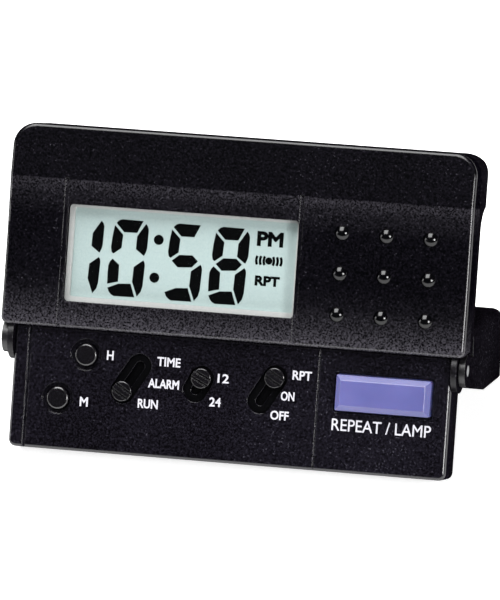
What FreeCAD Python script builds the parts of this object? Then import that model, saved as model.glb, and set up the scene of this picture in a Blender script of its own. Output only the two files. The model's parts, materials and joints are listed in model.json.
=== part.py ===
"""Folding travel alarm clock, one STEP file for each separate piece, in millimetres.

Every piece is drawn in the clock's own upright frame: X to the right across the face, Y from the
face towards the back, Z up the face from the foot of the key section.  main() then leans it back
the way the clock stands on its open stand, and puts the origin under the middle of the whole clock.
"""
import FreeCAD, Part
import math
import os

V = FreeCAD.Vector

# ---------------------------------------------------------------- case
FACE_WIDTH = 98.8           # upper section, side to side
FACE_TOP = 67.6             # top edge above the foot of the key section
SPLIT_HEIGHT = 25.6         # where the upper section starts, above the key section
KEY_WIDTH = 93.3            # key section, side to side
KEY_FRONT = 2.5             # key section's front plane, behind the upper front plane
KEY_BACK = 11.1
BULGE_HEIGHT = 16.0         # from the top edge down to where the cove leaves the thin back
COVE_RADIUS = 5.3           # hollow curve from the thin back up to the bulge
BULGE_LIP_RADIUS = 1.2
BULGE_TOP_RADIUS = 2.5
PLAN_CORNER = 2.2           # rounding of the bulge's two ends, seen from the top
FACE_CORNER = 4.8           # rounding of the upper section's top corners, seen from the front
LOWER_CORNER = 1.4
KEY_CORNER = 1.5
FACE_ROUND = 0.8            # rounding round the upper section's front edges
KEY_ROUND = 0.8             # and round the key section's
WALL = 1.3
SEAM_GAP = 0.1              # between two covers that meet edge to edge

# face relief
CREASE_HEIGHT = 56.7
BAND_SETBACK = 0.9          # how far the band above the crease leans back at the top
FACE_HOLLOW = 0.35          # depth of the shallow hollow below the crease
GROOVE_XS = (-37.0, 13.2)
GROOVE_WIDTH = 0.8
GROOVE_DEPTH = 0.35
KEY_GROOVE_INSET = 3.3      # middle of the key section's one groove, from its left side
KEY_GROOVE_WIDTH = 0.65
HAIRLINE_X = 18.7
HAIRLINE_WIDTH = 0.3
HAIRLINE_DEPTH = 0.12

# ---------------------------------------------------------------- display
WINDOW = (-36.3, 12.8, 31.1, 51.3)      # left, right, bottom, top of the opening
WINDOW_THICKNESS = 0.8
WINDOW_OVERLAP = 1.6
FRAME_THICKNESS = 0.8
FRAME_MARGINS = (0.8, 0.7, 1.0, 0.6)    # left, right, bottom, top band seen inside the opening
LCD_THICKNESS = 1.5
LCD_OVERLAP = 1.4
LCD_LEDGE = 2.2                          # terminal ledge below the picture area
BACKLIGHT_THICKNESS = 1.0
FIT_GAP = 0.08                           # between faces that only rest on each other

# ---------------------------------------------------------------- domes
DOME_XS = (22.0, 31.35, 40.7)
DOME_ZS = (32.6, 41.1, 49.5)
DOME_RADIUS = 1.55
DOME_HEIGHT = 0.75
DOME_STEM_RADIUS = 0.8
DOME_STEM_LENGTH = 1.5

# ---------------------------------------------------------------- keys
HOUR_AT = (-31.1, 20.2)
MINUTE_AT = (-36.6, 10.8)
CAP_RADIUS = 2.4
CAP_RECESS_RADIUS = 3.3
CAP_RECESS_DEPTH = 0.6
CAP_PROUD = 0.4
CAP_TRAVEL = 0.5
FLANGE_EXTRA = 0.75
FLANGE_THICKNESS = 0.5
SLIDE_GAP = 0.2
SNOOZE = (22.7, 42.7, 12.9, 20.3)
SNOOZE_FRONT = 0.5
SNOOZE_BEVEL = 1.1
SNOOZE_TRAVEL = 0.5
SNOOZE_SURROUND = 0.55

# slide switches: knob centre at rest, knob centre at the far end of its slot
SLIDES = {
    "mode": ((-22.8, 13.25), (-19.5, 18.7)),
    "hour_format": ((-6.1, 17.2), (-7.35, 14.7)),
    "alarm": ((9.5, 18.5), (6.5, 13.45)),
}
SLOT_WIDTH = 5.2
SLOT_DEPTH = 0.6
SLIT_WIDTH = 2.0
KNOB_RADIUS = 2.1
KNOB_FRONT = 1.55
KNOB_STEM_RADIUS = 0.8
KNOB_GROOVES = (-0.7, 0.7)
KNOB_GROOVE_WIDTH = 0.5
KNOB_GROOVE_DEPTH = 0.4
WIPER_SIZE = (4.4, 3.4)
WIPER_THICKNESS = 0.3
WIPER_FINGER = 0.9

# ---------------------------------------------------------------- board and what sits on it
BOARD_THICKNESS = 1.0
BOARD_AIR = 0.18            # between the light guide and the board, at the parting plane
REAR_AIR = 0.1              # between the board and the thin part's rear wall
BOARD_SIDE_GAP = 1.7        # board edge to the inside of the upper section's side walls
BOARD_KEY_GAP = 1.4         # and to the inside of the key section's
BOARD_STEP = 2.0            # its wide part starts this far above the split
BOARD_CELL_GAP = 1.25       # board's top edge to the cell
BOARD_FOOT = 2.2
PAD_THICKNESS = 0.4
PAD_DOME_RADIUS = 1.9
CHIP_AT = (-6.0, 12.5)
CHIP_RADIUS = 4.6
CHIP_HEIGHT = 1.3
CRYSTAL_AT = (-24.0, 8.0)
CRYSTAL_RADIUS = 1.0
CRYSTAL_LENGTH = 6.2
CRYSTAL_LEAD_RADIUS = 0.15
CRYSTAL_LEAD_SPREAD = 0.35
BUZZER_AT = (27.0, 13.0)
BUZZER_RADIUS = 10.0
BUZZER_THICKNESS = 0.4
BUZZER_RING_WALL = 1.0
BUZZER_RING_HEIGHT = 0.9
SOUND_HOLE_RADIUS = 0.9
SOUND_HOLES = 6             # in a ring round a middle one
SOUND_HOLE_RING = 4.0

# ---------------------------------------------------------------- battery (AAA)
CELL_RADIUS = 5.25
CELL_LENGTH = 44.5
CELL_NUB_RADIUS = 1.9
CELL_NUB_LENGTH = 1.0
CELL_ROUND = 0.4
CELL_AIR = 0.1              # between the cell and the front cover
CELL_DROP = 6.9             # from the top edge down to its axis
BULGE_ROOM = 2.3            # from the cell to the outside of the bulge
BAY_END_WALL = 2.8          # left end of the battery bay, from the case's side
SPRING_ROOM = 5.0           # between that end and the cell's flat end
CONTACT_ROOM = 2.3          # between the cell's nub and the bay's right end
DOORWAY = (12.7, 1.4)       # opening behind the cell: its bottom and top, from the top edge
DOOR_SKIN = 0.7
DOOR_LIP = 1.1              # how far the door laps over the case round the opening
DOOR_GAP = 0.12
DOOR_RIBS = 5
DOOR_RIB_PITCH = 1.8
DOOR_RIB_WIDTH = 0.8
DOOR_RIB_DEPTH = 0.3
DOOR_RIB_HALF = 2.2
DOOR_RIB_START = 9.0        # first rib, from the case's left side
SPRING_COILS = 3
SPRING_WIRE = 0.35
SPRING_RADIUS = 2.6
CONTACT_THICKNESS = 0.4
CRADLE_XS = (-33.0, -9.0)
CRADLE_WIDTH = 1.2

# ---------------------------------------------------------------- screws
POST_RADIUS = 2.1
SCREW_RADIUS = 0.85
SCREW_HEAD_RADIUS = 1.7
SCREW_HEAD_HEIGHT = 0.9
CASE_SCREW_INSET = 6.0      # from the side of either section
CASE_SCREW_ZS = (29.6, 4.2)
BOARD_SCREWS = ((-15.0, 4.4), (14.0, 4.4), (0.5, 23.0))
SCREW_BITE = 1.9
BOARD_HEAD_RADIUS = 1.5
BOARD_HEAD_HEIGHT = 0.6
BOARD_SCREW_BITE = 1.2

# ---------------------------------------------------------------- hinge and stand
PIVOT = (5.5, 22.9)         # Y and Z of the stand's axis
PIN_RADIUS = 1.25
PIN_RUNNING_GAP = 0.05
EAR_RADIUS = 4.75
EAR_REACH = 1.2             # how far each ear stands out from the key section's side
EAR_GAP = 0.25              # between an ear and the stand's lug
LUG_RADIUS = 3.5
ARM_GAP = 0.4               # between the key section's side and the stand's arm
STAND_LENGTH = 33.0         # pivot to the far face
STAND_BACK = 8.2            # pivot to the outer face of its plate
STAND_SKIN = 2.2            # plate
STAND_END = 2.8             # end wall
STAND_ARM_DROP = 7.0        # pivot to the arm's lower edge
STAND_ARM_KNEE = 18.0       # where the arm reaches its full depth
STAND_START = 4.5           # pivot to the plate's near edge
STAND_NECK = 2.3            # half height of the neck above the pivot
STAND_SHOULDER = 2.4
STAND_END_ROUND = 2.6
STAND_CLEARANCE = 0.35
STAND_OPEN_ANGLE = 8.0      # above the line square to the face, degrees
LAND_CUT = 0.5              # how much the two table edges are flattened


# ================================================================ shape helpers
def box(x0, x1, y0, y1, z0, z1):
    return Part.makeBox(x1 - x0, y1 - y0, z1 - z0, V(x0, y0, z0))


def rod_y(x, z, radius, y0, y1):
    return Part.makeCylinder(radius, y1 - y0, V(x, y0, z), V(0, 1, 0))


def rod_x(y, z, radius, x0, x1):
    return Part.makeCylinder(radius, x1 - x0, V(x0, y, z), V(1, 0, 0))


def slab(x0, x1, z0, z1, y0, y1, low_round, top_round):
    """A plate facing the front, its four corners rounded, the lower two apart from the upper two."""
    def corner(cx, cz, radius, start):
        angles = [math.radians(start + part) for part in (0, 45, 90)]
        points = [V(cx + radius * math.cos(a), y0, cz + radius * math.sin(a)) for a in angles]
        return Part.Arc(*points).toShape()

    corners = [
        corner(x1 - top_round, z1 - top_round, top_round, 0),
        corner(x0 + top_round, z1 - top_round, top_round, 90),
        corner(x0 + low_round, z0 + low_round, low_round, 180),
        corner(x1 - low_round, z0 + low_round, low_round, 270),
    ]
    edges = []
    for here, after in zip(corners, corners[1:] + corners[:1]):
        edges += [here, Part.makeLine(here.Vertexes[-1].Point, after.Vertexes[0].Point)]
    return Part.Face(Part.Wire(edges)).extrude(V(0, y1 - y0, 0))


def stadium(a, b, width, y0, y1):
    """A round-ended slot between two centres on the face."""
    length = math.dist(a, b)
    turn = math.degrees(math.atan2(b[1] - a[1], b[0] - a[0]))
    shape = box(0, length, y0, y1, -width / 2, width / 2)
    shape = shape.fuse([rod_y(0, 0, width / 2, y0, y1), rod_y(length, 0, width / 2, y0, y1)])
    shape = shape.removeSplitter()
    shape.rotate(V(0, 0, 0), V(0, 1, 0), -turn)
    shape.translate(V(a[0], 0, a[1]))
    return shape


def profile_x(edges, x0, x1):
    """Sweeps a closed outline of the Y-Z plane from x0 to x1."""
    face = Part.Face(Part.Wire(edges))
    face.translate(V(x0, 0, 0))
    return face.extrude(V(x1 - x0, 0, 0))


def prism_z(points, z0, z1):
    """Sweeps a closed outline of the X-Y plane from z0 to z1."""
    closed = points + points[:1]
    wire = Part.makePolygon([V(x, y, z0) for x, y in closed])
    return Part.Face(wire).extrude(V(0, 0, z1 - z0))


def polygon(points):
    closed = points + points[:1]
    return [Part.makeLine(V(0, *p), V(0, *q)) for p, q in zip(closed, closed[1:])]


def joined(first, *others):
    return first.fuse(list(others)).removeSplitter()


def rounded(shape, radius, chosen):
    edges = [edge for edge in shape.Edges if chosen(edge)]
    return shape.makeFillet(radius, edges)


def along(edge, axis):
    """True for a straight edge that runs along X (0), Y (1) or Z (2)."""
    if not isinstance(edge.Curve, (Part.Line, Part.LineSegment)):
        return False
    ends = edge.Vertexes[-1].Point - edge.Vertexes[0].Point
    return abs(abs(ends[axis]) - ends.Length) < 1e-6


def faces_front(face):
    u0, u1, v0, v1 = face.ParameterRange
    return face.normalAt((u0 + u1) / 2, (v0 + v1) / 2).y < -0.9


def middle(edge):
    return edge.valueAt((edge.FirstParameter + edge.LastParameter) / 2)


def grown(rect, by):
    left, right, bottom, top = rect
    return (left - by, right + by, bottom - by, top + by)


# ================================================================ shared places
HALF = FACE_WIDTH / 2
KEY_HALF = KEY_WIDTH / 2
KEY_INNER = KEY_FRONT + WALL
EAR_OUTER = KEY_HALF + EAR_REACH
LUG_INNER = EAR_OUTER + EAR_GAP
ARM_INNER = KEY_HALF + ARM_GAP
UPPER_SCREW_X, LOWER_SCREW_X = HALF - CASE_SCREW_INSET, KEY_HALF - CASE_SCREW_INSET
CASE_SCREWS = [(side * UPPER_SCREW_X, CASE_SCREW_ZS[0]) for side in (-1, 1)]
CASE_SCREWS += [(side * LOWER_SCREW_X, CASE_SCREW_ZS[1]) for side in (-1, 1)]
CELL_LEFT = -HALF + BAY_END_WALL + SPRING_ROOM      # flat end
CELL_RIGHT = CELL_LEFT + CELL_LENGTH                # end of the nub
BAY = (CELL_LEFT - SPRING_ROOM, CELL_RIGHT + CONTACT_ROOM)
BOARD_WIDE = HALF - WALL - BOARD_SIDE_GAP
BOARD_NARROW = KEY_HALF - WALL - BOARD_KEY_GAP
BOARD_SHOULDER = SPLIT_HEIGHT + BOARD_STEP
WINDOW_FRONT = WALL + FIT_GAP
FRAME_FRONT = WINDOW_FRONT + WINDOW_THICKNESS + FIT_GAP
LCD_FRONT = FRAME_FRONT + FRAME_THICKNESS + FIT_GAP
LCD_BACK = LCD_FRONT + LCD_THICKNESS
LIGHT_BACK = LCD_BACK + FIT_GAP + BACKLIGHT_THICKNESS
SEAM = LIGHT_BACK + BOARD_AIR                       # parting plane, and the board's front
BOARD_FRONT = SEAM
BOARD_BACK = BOARD_FRONT + BOARD_THICKNESS
THIN_BACK = BOARD_BACK + REAR_AIR + WALL            # back of the thin part of the upper section
CELL_AT = (WALL + CELL_AIR + CELL_RADIUS, FACE_TOP - CELL_DROP)     # Y and Z of its axis
BULGE_BACK = CELL_AT[0] + CELL_RADIUS + BULGE_ROOM
COVE_FOOT = FACE_TOP - BULGE_HEIGHT
BAY_DOOR = (FACE_TOP - DOORWAY[0], FACE_TOP - DOORWAY[1])
BOARD_TOP = CELL_AT[1] - CELL_RADIUS - BOARD_CELL_GAP
PICTURE = (
    WINDOW[0] + FRAME_MARGINS[0],
    WINDOW[1] - FRAME_MARGINS[1],
    WINDOW[2] + FRAME_MARGINS[2],
    WINDOW[3] - FRAME_MARGINS[3],
)
LCD_PLATE = (
    PICTURE[0] - LCD_OVERLAP,
    PICTURE[1] + LCD_OVERLAP,
    PICTURE[2] - LCD_OVERLAP - LCD_LEDGE,
    PICTURE[3] + LCD_OVERLAP,
)
LCD_PLATE_FOOT = max(LCD_PLATE[2], SPLIT_HEIGHT + WALL + SEAM_GAP)
LCD_PLATE = (LCD_PLATE[0], LCD_PLATE[1], LCD_PLATE_FOOT, LCD_PLATE[3])
LEDGE_TOP = PICTURE[2] - LCD_OVERLAP


# ================================================================ upper front cover
def front_bezel():
    foot, top = SPLIT_HEIGHT, FACE_TOP
    hollow = Part.Arc(
        V(0, 0, foot), V(0, FACE_HOLLOW, (foot + CREASE_HEIGHT) / 2), V(0, 0, CREASE_HEIGHT)
    ).toShape()
    outline = [hollow] + [
        Part.makeLine(V(0, *p), V(0, *q))
        for p, q in (
            ((0, CREASE_HEIGHT), (BAND_SETBACK, top)),
            ((BAND_SETBACK, top), (SEAM, top)),
            ((SEAM, top), (SEAM, foot)),
            ((SEAM, foot), (0, foot)),
        )
    ]
    shape = profile_x(outline, -HALF, HALF)
    shape = shape.common(slab(-HALF, HALF, foot, top, -1, SEAM, LOWER_CORNER, FACE_CORNER))
    front = [face for face in shape.Faces if faces_front(face)]
    seen = [edge for face in front for edge in face.Edges]
    rim = [edge for edge in seen if sum(edge.isSame(other) for other in seen) == 1]
    shape = shape.makeFillet(FACE_ROUND, rim)

    inner = slab(
        -HALF + WALL, HALF - WALL, foot + WALL, top - WALL, WALL, SEAM + 1,
        LOWER_CORNER / 2, FACE_CORNER - WALL,
    )
    shape = shape.cut(inner)
    shape = joined(shape, *[post(x, z, 0.9) for x, z in CASE_SCREWS if z > foot])
    shape = shape.cut(slab(*WINDOW, -1, WALL + 1, 0.8, 0.8))
    for x in GROOVE_XS:
        half = GROOVE_WIDTH / 2
        shape = shape.cut(box(x - half, x + half, -1, GROOVE_DEPTH, foot - 1, CREASE_HEIGHT))
    for x in DOME_XS:
        for z in DOME_ZS:
            shape = shape.cut(rod_y(x, z, DOME_STEM_RADIUS + PIN_RUNNING_GAP, -1, WALL + 1))
    for x, z in CASE_SCREWS:
        shape = shape.cut(rod_y(x, z, SCREW_RADIUS, SEAM - SCREW_BITE, SEAM + 1))
    return shape.cut(hinge_pockets())


def post(x, z, front):
    """A screw post on a front cover, from its inner face to the seam."""
    return rod_y(x, z, POST_RADIUS, front, SEAM)


def hinge_pockets():
    """Room for the stand's two lugs under the upper section."""
    y, z = PIVOT
    radius = LUG_RADIUS + STAND_CLEARANCE
    inner = EAR_OUTER
    return rod_x(y, z, radius, inner, HALF + 1).fuse([rod_x(y, z, radius, -HALF - 1, -inner)])


def ears():
    """The case's two hinge ears, trimmed clear of the upper front cover."""
    y, z = PIVOT
    pair = []
    for side in (-1, 1):
        x0, x1 = sorted((side * (KEY_HALF - 0.5), side * EAR_OUTER))
        ear = rod_x(y, z, EAR_RADIUS, x0, x1)
        over = box(x0, x1, y - EAR_RADIUS - 1, SEAM, SPLIT_HEIGHT - SEAM_GAP, z + EAR_RADIUS + 1)
        inside = box(*sorted((0, side * KEY_HALF)), 0, SEAM, 0, z + EAR_RADIUS + 1)
        pair.append(ear.cut(over).cut(inside))
    return pair


def pin_holes(radius):
    y, z = PIVOT
    reach = KEY_HALF - WALL - 0.3
    return rod_x(y, z, radius, reach, HALF + 1).fuse([rod_x(y, z, radius, -HALF - 1, -reach)])


# ================================================================ key section's front cover
def key_panel():
    top = SPLIT_HEIGHT - SEAM_GAP
    shape = slab(-KEY_HALF, KEY_HALF, 0, top, KEY_FRONT, SEAM, KEY_CORNER, 0.3)
    shape = rounded(
        shape, KEY_ROUND,
        lambda e: abs(middle(e).y - KEY_FRONT) < 1e-6 and middle(e).z < top - 0.4,
    )
    shape = shape.cut(
        slab(-KEY_HALF + WALL, KEY_HALF - WALL, WALL, top + 1, KEY_INNER, SEAM + 1, 0.8, 0.2)
    )
    posts = [at for at in CASE_SCREWS if at[1] < top] + list(BOARD_SCREWS)
    shape = joined(shape, *[post(x, z, KEY_INNER - 0.3) for x, z in posts])
    x, half = -KEY_HALF + KEY_GROOVE_INSET, KEY_GROOVE_WIDTH / 2
    shape = shape.cut(box(x - half, x + half, 0, KEY_FRONT + GROOVE_DEPTH, -1, top + 1))
    half = HAIRLINE_WIDTH / 2
    shape = shape.cut(
        box(HAIRLINE_X - half, HAIRLINE_X + half, 0, KEY_FRONT + HAIRLINE_DEPTH, -1, top + 1)
    )
    for x, z in (HOUR_AT, MINUTE_AT):
        shape = shape.cut(rod_y(x, z, CAP_RECESS_RADIUS, 0, KEY_FRONT + CAP_RECESS_DEPTH))
        shape = shape.cut(rod_y(x, z, CAP_RADIUS + SLIDE_GAP, 0, KEY_INNER + 1))
    for near, far in SLIDES.values():
        shape = shape.cut(stadium(near, far, SLOT_WIDTH, 0, KEY_FRONT + SLOT_DEPTH))
        shape = shape.cut(stadium(near, far, SLIT_WIDTH, 0, KEY_INNER + 1))
    surround = grown(SNOOZE, SNOOZE_SURROUND)
    shape = shape.cut(slab(*surround, 0, KEY_FRONT + CAP_RECESS_DEPTH, 0.6, 0.6))
    shape = shape.cut(slab(*grown(SNOOZE, SLIDE_GAP), 0, KEY_INNER + 1, 0.5, 0.5))
    for x, z in CASE_SCREWS:
        shape = shape.cut(rod_y(x, z, SCREW_RADIUS, SEAM - SCREW_BITE, SEAM + 1))
    for x, z in BOARD_SCREWS:
        shape = shape.cut(rod_y(x, z, SCREW_RADIUS, SEAM - BOARD_SCREW_BITE, SEAM + 1))
    return shape.cut(pin_holes(PIN_RADIUS))


# ================================================================ rear case
def upper_profile(inset):
    """Back outline of the upper section, drawn in by inset all round."""
    front, thin, back = SEAM, THIN_BACK - inset, BULGE_BACK - inset
    foot, top = SPLIT_HEIGHT + inset, FACE_TOP - inset
    radius = COVE_RADIUS + inset
    lip = max(BULGE_LIP_RADIUS - inset, 0.2)
    crown = max(BULGE_TOP_RADIUS - inset, 0.3)
    cy, cz = THIN_BACK + COVE_RADIUS, COVE_FOOT
    ey = back - lip
    ez = cz + math.sqrt(radius ** 2 - (cy - ey) ** 2)
    diagonal = math.sqrt(0.5)
    cove = Part.Arc(
        V(0, thin, cz), V(0, cy - radius * diagonal, cz + radius * diagonal), V(0, ey, ez)
    ).toShape()
    lip_arc = Part.Arc(
        V(0, ey, ez), V(0, back - lip * (1 - diagonal), ez + lip * (1 - diagonal)), V(0, back, ez + lip)
    ).toShape()
    crown_arc = Part.Arc(
        V(0, back, top - crown),
        V(0, back - crown * (1 - diagonal), top - crown * (1 - diagonal)),
        V(0, back - crown, top),
    ).toShape()
    lines = [
        Part.makeLine(V(0, front, foot), V(0, thin, foot)),
        Part.makeLine(V(0, thin, foot), V(0, thin, cz)),
    ]
    rest = [
        Part.makeLine(V(0, back, ez + lip), V(0, back, top - crown)),
        Part.makeLine(V(0, back - crown, top), V(0, front, top)),
        Part.makeLine(V(0, front, top), V(0, front, foot)),
    ]
    return lines + [cove, lip_arc, rest[0], crown_arc, rest[1], rest[2]]


def plan(x_half, inset):
    """Footprint of the upper section seen from the top, its two back corners rounded."""
    back, corner = BULGE_BACK - inset, PLAN_CORNER
    shape = box(-x_half, x_half, 0, back, SPLIT_HEIGHT - 5, FACE_TOP + 5)
    return rounded(shape, corner, lambda e: along(e, 2) and middle(e).y > back - 0.1)


def upper_shell(inset):
    x_half = HALF - inset
    shape = profile_x(upper_profile(inset), -x_half, x_half)
    outline = slab(
        -x_half, x_half, SPLIT_HEIGHT + inset, FACE_TOP - inset, 0, BULGE_BACK + 1,
        LOWER_CORNER if inset == 0 else LOWER_CORNER / 2, FACE_CORNER - inset,
    )
    return shape.common(outline).common(plan(x_half, inset))


def door_skin(gap):
    """The battery door's place in the bulge: a skin that follows the case's outside."""
    low, high = BAY_DOOR[0] - DOOR_LIP - gap, BAY_DOOR[1] + gap
    right = BAY[1] + DOOR_LIP + gap
    outer = profile_x(upper_profile(0), -HALF, right)
    inner = profile_x(upper_profile(DOOR_SKIN + gap), -HALF - 1, right + 1)
    skin = outer.cut(inner)
    return skin.common(box(-HALF - 1, right, THIN_BACK - 1.5, BULGE_BACK + 1, low, high))


def rear_case():
    shape = upper_shell(0)
    lower = slab(-KEY_HALF, KEY_HALF, 0, SPLIT_HEIGHT + 2, SEAM, KEY_BACK, KEY_CORNER, 0.2)
    lower = rounded(
        lower, 1.0, lambda e: abs(middle(e).y - KEY_BACK) < 1e-6 and middle(e).z > 0.5
    )
    shape = joined(shape, lower, *ears())
    shape = shape.cut(upper_shell(WALL))
    shape = shape.cut(box(-KEY_HALF + WALL, KEY_HALF - WALL, SEAM - 1, KEY_BACK - WALL, WALL, SPLIT_HEIGHT))
    shape = shape.cut(
        box(-KEY_HALF + WALL, KEY_HALF - WALL, SEAM - 1, THIN_BACK - WALL, WALL, SPLIT_HEIGHT + WALL + 1)
    )

    # battery bay: end ribs, cradles and the opening behind the cell
    y, z = CELL_AT
    ribs = [bay_rib(BAY[1], BAY[1] + CRADLE_WIDTH)]
    ribs += [bay_rib(x - CRADLE_WIDTH / 2, x + CRADLE_WIDTH / 2) for x in CRADLE_XS]
    shape = joined(shape, *ribs)
    shape = shape.cut(rod_x(y, z, CELL_RADIUS + 0.15, BAY[0], BAY[1]))
    shape = shape.cut(door_skin(DOOR_GAP))
    shape = shape.cut(box(BAY[0], BAY[1], y, BULGE_BACK + 1, BAY_DOOR[0], BAY_DOOR[1] - 1.0))

    # buzzer seat, screw seats, sound holes
    bx, bz = BUZZER_AT
    ring_front = KEY_BACK - WALL - BUZZER_RING_HEIGHT
    ring = rod_y(bx, bz, BUZZER_RADIUS + BUZZER_RING_WALL, ring_front, KEY_BACK - WALL + 0.2)
    ring = ring.cut(rod_y(bx, bz, BUZZER_RADIUS - 0.8, 0, KEY_BACK - WALL))
    ring = ring.cut(rod_y(bx, bz, BUZZER_RADIUS + FIT_GAP, 0, ring_front + BUZZER_THICKNESS))
    seats = []
    for x, z in CASE_SCREWS:
        back = case_back_at(z)
        seats.append(rod_y(x, z, SCREW_HEAD_RADIUS + 0.9, BOARD_BACK + FIT_GAP, back - 0.2))
    shape = joined(shape, ring, *seats)
    for x, z in CASE_SCREWS:
        back = case_back_at(z)
        shape = shape.cut(rod_y(x, z, SCREW_RADIUS + 0.15, SEAM - 1, back + 1))
        shape = shape.cut(rod_y(x, z, SCREW_HEAD_RADIUS + 0.15, back - SCREW_HEAD_HEIGHT - 0.1, back + 1))
    holes = [(0, 0)]
    for i in range(SOUND_HOLES):
        angle = 2 * math.pi * i / SOUND_HOLES
        holes.append((SOUND_HOLE_RING * math.cos(angle), SOUND_HOLE_RING * math.sin(angle)))
    for x, z in holes:
        shape = shape.cut(
            rod_y(bx + x, bz + z, SOUND_HOLE_RADIUS, KEY_BACK - WALL - 0.5, KEY_BACK + 1)
        )
    return shape.cut(pin_holes(PIN_RADIUS)).cut(hinge_pockets())


def case_back_at(z):
    return KEY_BACK if z < SPLIT_HEIGHT else THIN_BACK


def bay_rib(x0, x1):
    """A rib across the bulge; the cell's own bore is cut through it afterwards."""
    rib = box(x0, x1, SEAM + 0.1, BULGE_BACK - WALL + 0.1, BOARD_TOP + 0.4, FACE_TOP - WALL + 0.1)
    return rib.common(upper_shell(WALL - 0.1))


# ================================================================ display stack
def plate(rect, front, thickness, corner=0.4):
    return slab(*rect, front, front + thickness, corner, corner)


def display_window():
    return plate(grown(WINDOW, WINDOW_OVERLAP), WINDOW_FRONT, WINDOW_THICKNESS)


def lcd_frame():
    body = plate(grown(WINDOW, WINDOW_OVERLAP), FRAME_FRONT, FRAME_THICKNESS)
    return body.cut(slab(*PICTURE, FRAME_FRONT - 1, LCD_FRONT + 1, 0.4, 0.4))


def lcd_glass():
    """Front plate with the picture, and a rear plate that runs down to the terminal ledge."""
    half = LCD_THICKNESS / 2
    front = box(LCD_PLATE[0], LCD_PLATE[1], LCD_FRONT, LCD_FRONT + half, LCD_PLATE[2], LCD_PLATE[3])
    ledge_top = LEDGE_TOP
    rear = box(LCD_PLATE[0], LCD_PLATE[1], LCD_FRONT + half, LCD_BACK, ledge_top, LCD_PLATE[3])
    return joined(front, rear)


def backlight_panel():
    y0 = LCD_BACK + FIT_GAP
    return box(LCD_PLATE[0], LCD_PLATE[1], y0, y0 + BACKLIGHT_THICKNESS, LEDGE_TOP, LCD_PLATE[3])


def backlight_led():
    x = LCD_PLATE[1] + 0.4
    z = (PICTURE[2] + PICTURE[3]) / 2
    body = box(x, x + 1.6, BOARD_FRONT - 1.1, BOARD_FRONT, z - 1.6, z + 1.6)
    return rounded(body, 0.25, lambda e: along(e, 1))


def elastomer_strip():
    y0 = LCD_FRONT + LCD_THICKNESS / 2 + FIT_GAP
    top = LEDGE_TOP - 0.2
    return rounded(
        box(LCD_PLATE[0] + 2, LCD_PLATE[1] - 2, y0, BOARD_FRONT - FIT_GAP, LCD_PLATE[2] + 0.3, top),
        0.2, lambda e: along(e, 0),
    )


def sound_domes():
    """Nine pressed-in studs, each a shallow dome on a stem."""
    ball = (DOME_RADIUS ** 2 + DOME_HEIGHT ** 2) / (2 * DOME_HEIGHT)
    studs = []
    for x in DOME_XS:
        for z in DOME_ZS:
            seat = dome_seat(z)
            cap = Part.makeSphere(ball, V(x, seat - DOME_HEIGHT + ball, z))
            cap = cap.common(rod_y(x, z, ball, seat - DOME_HEIGHT - 1, seat))
            stem = rod_y(x, z, DOME_STEM_RADIUS, seat - 0.1, DOME_STEM_LENGTH)
            studs.append(joined(cap, stem))
    return Part.makeCompound(studs)


def dome_seat(z):
    """Depth of the hollow face at height z, less a hair so that a stud stays clear of it."""
    half = (CREASE_HEIGHT - SPLIT_HEIGHT) / 2
    radius = (half ** 2 + FACE_HOLLOW ** 2) / (2 * FACE_HOLLOW)
    reach = max(abs(z - SPLIT_HEIGHT - half) - DOME_RADIUS, 0)
    near = min(abs(z - SPLIT_HEIGHT - half) + DOME_RADIUS, half)
    depths = [FACE_HOLLOW - radius + math.sqrt(radius ** 2 - d ** 2) for d in (reach, near)]
    return min(depths) - 0.01


# ================================================================ keys
def round_button(at):
    x, z = at
    front = KEY_FRONT - CAP_PROUD
    shape = rod_y(x, z, CAP_RADIUS, front, KEY_INNER + 0.1)
    shape = rounded(shape, 0.55, lambda e: abs(middle(e).y - front) < 1e-6)
    flange = rod_y(
        x, z, CAP_RADIUS + FLANGE_EXTRA, KEY_INNER + FIT_GAP, KEY_INNER + FIT_GAP + FLANGE_THICKNESS
    )
    return joined(shape, flange)


def snooze_bar():
    body = bevelled(SNOOZE, SNOOZE_FRONT, KEY_INNER + 0.1, SNOOZE_BEVEL)
    flange_front = KEY_INNER + FIT_GAP
    flange = slab(
        *grown(SNOOZE, FLANGE_EXTRA), flange_front, flange_front + FLANGE_THICKNESS, 0.5, 0.5
    )
    return joined(body, flange)


def bevelled(rect, front, back, bevel):
    """A bar whose front edges slope in all round."""
    def ring(margin, y):
        left, right, bottom, top = grown(rect, -margin)
        corners = [V(left, y, bottom), V(right, y, bottom), V(right, y, top), V(left, y, top)]
        return Part.makePolygon(corners + corners[:1])

    top = Part.makeLoft([ring(bevel, front), ring(0, front + bevel * 0.9)], True, True)
    left, right, low, high = rect
    body = joined(top, box(left, right, front + bevel * 0.9, back, low, high))
    return rounded(
        body, 0.3,
        lambda e: abs(middle(e).y - front) < 1e-6 or (along(e, 1) and e.Length > 1),
    )


def knob(near, far):
    """Round cap with two grooves square to the way it slides, and its stem."""
    x, z = near
    turn = math.degrees(math.atan2(far[1] - z, far[0] - x))
    floor = KEY_FRONT + SLOT_DEPTH - FIT_GAP
    shape = rod_y(0, 0, KNOB_RADIUS, KNOB_FRONT, floor)
    shape = rounded(shape, 0.25, lambda e: abs(middle(e).y - KNOB_FRONT) < 1e-6)
    reach = KNOB_RADIUS + 1
    half = KNOB_GROOVE_WIDTH / 2
    for mid in KNOB_GROOVES:
        shape = shape.cut(
            box(mid - half, mid + half, KNOB_FRONT - 1, KNOB_FRONT + KNOB_GROOVE_DEPTH, -reach, reach)
        )
    shape = joined(shape, rod_y(0, 0, KNOB_STEM_RADIUS, floor - 0.2, KEY_INNER + 0.9))
    shape.rotate(V(0, 0, 0), V(0, 1, 0), -turn)
    shape.translate(V(x, 0, z))
    return shape


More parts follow.
